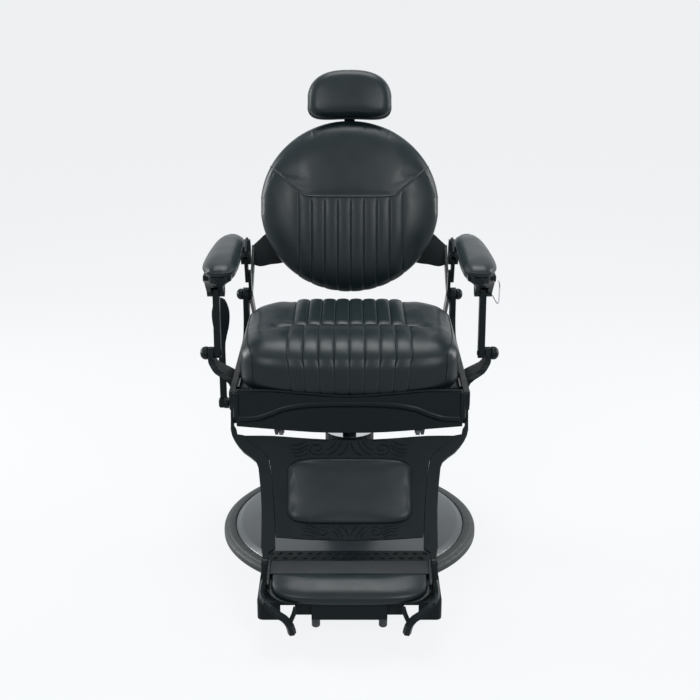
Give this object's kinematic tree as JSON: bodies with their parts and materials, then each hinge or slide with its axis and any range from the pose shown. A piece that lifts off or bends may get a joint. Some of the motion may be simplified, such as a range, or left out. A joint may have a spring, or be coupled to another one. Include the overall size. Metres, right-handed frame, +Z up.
{
  "type": "hydraulic barber chair",
  "caption": "Reclining barber chair on a round pump base, with a channelled seat, round back, headrest, padded arms, leg rest and foot platform.",
  "frame": {"origin": "centre of the base's underside, on the floor, on the axis of the ram", "axes": "+Z up along the ram; +X towards the sitter's left; -Y towards the front, where the sitter's feet are"},
  "size_m": [0.7646, 1.0768, 1.2149],
  "materials": {
    "dish_casting": "satin graphite paint on cast iron",
    "ribbed_rubber": "matt moulded rubber",
    "black_casting": "satin black paint on cast iron",
    "black_paint": "satin black powder coat",
    "polished_steel": "bright chrome plate",
    "bearing_steel": "machined steel",
    "bronze_bush": "machined bronze",
    "plywood": "bare plywood",
    "black_leather": "satin black upholstery leather over foam"
  },
  "bodies": {
    "base": {"base_plate": "dish_casting", "base_rim": "ribbed_rubber", "pump_housing": "black_casting", "guide_bush": "bronze_bush", "cylinder_gland": "polished_steel", "wiper_seal": "ribbed_rubber"},
    "ram": {"ram": "polished_steel", "swivel_race": "bearing_steel"},
    "seat": {"seat_spider": "black_casting", "side_frame_left": "black_paint", "side_frame_right": "black_paint", "apron": "black_paint", "seat_board": "plywood", "seat_cushion": "black_leather", "rear_knob_left": "black_paint", "rear_knob_right": "black_paint", "front_knob_left": "black_paint", "front_knob_right": "black_paint"},
    "pump_yoke": {"pump_yoke": "black_paint"},
    "pump_rod": {"pump_rod": "bearing_steel"},
    "lever": {"hand_lever": "black_paint"},
    "back": {"back_cushion": "black_leather", "back_shell": "plywood", "back_bracket_left": "black_paint", "back_bracket_right": "black_paint", "back_tie_bar": "bearing_steel", "headrest_socket": "black_casting"},
    "headrest_bar": {"headrest_bar": "black_paint"},
    "headrest": {"headrest_cushion": "black_leather", "headrest_plate": "black_paint"},
    "armrest_left": {"armrest_pad_left": "black_leather", "armrest_casting_left": "black_paint", "strop_loop": "polished_steel"},
    "armrest_right": {"armrest_pad_right": "black_leather", "armrest_casting_right": "black_paint"},
    "link_left": {"front_link_left": "black_paint"},
    "link_right": {"front_link_right": "black_paint"},
    "rod_left": {"coupling_rod_left": "bearing_steel"},
    "rod_right": {"coupling_rod_right": "bearing_steel"},
    "leg_rest": {"leg_rail_left": "black_paint", "leg_rail_right": "black_paint", "calf_panel": "black_paint", "calf_cushion": "black_leather", "leg_shaft": "bearing_steel", "foot_platform": "black_casting", "platform_foot_left": "ribbed_rubber", "platform_foot_right": "ribbed_rubber"},
    "foot_bar": {"foot_bar": "black_paint", "foot_bar_pad": "black_leather"}
  },
  "joints": [
    {"name": "lift", "type": "slide", "parent": "base", "child": "ram", "axis": [0, 0, 1], "range_m": [0, 0.16]},
    {"name": "swivel", "type": "hinge", "parent": "ram", "child": "seat", "pos_m": [0, 0, 0.4043], "axis": [0, 0, 1], "continuous": true},
    {"name": "pump_stroke", "type": "hinge", "parent": "seat", "child": "pump_yoke", "pos_m": [0, -0.092, 0.408], "axis": [-1, 0, 0], "range_deg": [0, 14], "stiffness_Nm_per_rad": 12, "springref_deg": -11.46},
    {"name": "pump_push", "type": "slide", "parent": "seat", "child": "pump_rod", "axis": [0, 0, 1], "range_m": [-0.0245, 0]},
    {"name": "lever_trip", "type": "hinge", "parent": "pump_yoke", "child": "lever", "pos_m": [-0.3404, -0.002, 0.378], "axis": [0, -1, 0], "range_deg": [0, 6], "stiffness_Nm_per_rad": 8, "springref_deg": -11.46},
    {"name": "recline", "type": "hinge", "parent": "seat", "child": "back", "pos_m": [0, 0.18, 0.627], "axis": [-1, 0, 0], "range_deg": [0, 50]},
    {"name": "leg_swing", "type": "hinge", "parent": "seat", "child": "leg_rest", "pos_m": [0, -0.24, 0.437], "axis": [-1, 0, 0], "range_deg": [0, 50]},
    {"name": "coupling_left", "type": "hinge", "parent": "back", "child": "rod_left", "pos_m": [0.14, 0.28725, 0.53701], "axis": [-1, 0, 0], "range_deg": [-50, 0]},
    {"name": "coupling_right", "type": "hinge", "parent": "back", "child": "rod_right", "pos_m": [-0.14, 0.28725, 0.53701], "axis": [-1, 0, 0], "range_deg": [-50, 0]},
    {"name": "arm_swing_left", "type": "hinge", "parent": "back", "child": "armrest_left", "pos_m": [0.2837, 0.15, 0.733], "axis": [1, 0, 0], "range_deg": [0, 55.2]},
    {"name": "arm_swing_right", "type": "hinge", "parent": "back", "child": "armrest_right", "pos_m": [-0.2837, 0.15, 0.733], "axis": [1, 0, 0], "range_deg": [0, 55.2]},
    {"name": "link_swing_left", "type": "hinge", "parent": "seat", "child": "link_left", "pos_m": [0.3365, -0.13, 0.561], "axis": [-1, 0, 0], "range_deg": [0, 35.68]},
    {"name": "link_swing_right", "type": "hinge", "parent": "seat", "child": "link_right", "pos_m": [-0.3365, -0.13, 0.561], "axis": [-1, 0, 0], "range_deg": [0, 35.68]},
    {"name": "headrest_height", "type": "slide", "parent": "back", "child": "headrest_bar", "axis": [0, 0.2924, 0.9563], "range_m": [0, 0.1]},
    {"name": "headrest_tilt", "type": "hinge", "parent": "headrest_bar", "child": "headrest", "pos_m": [0, 0.4272, 1.1306], "axis": [-1, 0, 0], "range_deg": [0, 30]},
    {"name": "foot_bar_flip", "type": "hinge", "parent": "leg_rest", "child": "foot_bar", "pos_m": [0, -0.48663, 0.15381], "axis": [-1, 0, 0], "range_deg": [0, 100]}
  ],
  "couplings": [
    {"joint": "pump_push", "follows": "pump_stroke", "m_per_rad": -0.0978},
    {"joint": "leg_swing", "follows": "recline", "ratio": 1},
    {"joint": "coupling_left", "follows": "recline", "ratio": -1},
    {"joint": "coupling_right", "follows": "recline", "ratio": -1},
    {"joint": "arm_swing_left", "follows": "recline", "ratio": 1.103},
    {"joint": "arm_swing_right", "follows": "recline", "ratio": 1.103},
    {"joint": "link_swing_left", "follows": "recline", "ratio": 0.7126},
    {"joint": "link_swing_right", "follows": "recline", "ratio": 0.7126}
  ]
}
